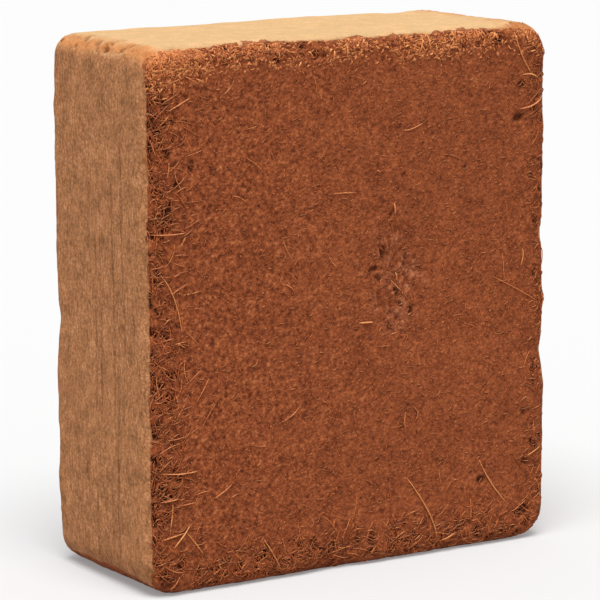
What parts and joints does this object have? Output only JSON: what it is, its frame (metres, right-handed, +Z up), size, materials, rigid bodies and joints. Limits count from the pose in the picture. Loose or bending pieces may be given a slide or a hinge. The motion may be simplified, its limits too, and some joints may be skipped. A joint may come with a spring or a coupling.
{
  "type": "coconut coir bale",
  "caption": "Rectangular block of pressed coconut husk pith and short fibre, with round mould corners and crumbled rims, standing on a narrow end.",
  "frame": {"origin": "middle of the flat end that the block stands on", "axes": "+Z up along the tallest side; +X across the wide press faces; +Y along the pressing direction, from the front press face, at -Y, to the back one"},
  "size_m": [0.266, 0.112, 0.3005],
  "materials": {
    "pressed_coir": "rough, dry, fibrous pith, dark red-brown on the press faces and tan on the mould sides",
    "husk_fibre": "dry, slightly glossy husk fibre, orange-tan"
  },
  "bodies": {
    "root": {"coir_bale": "pressed_coir"}
  },
  "joints": []
}
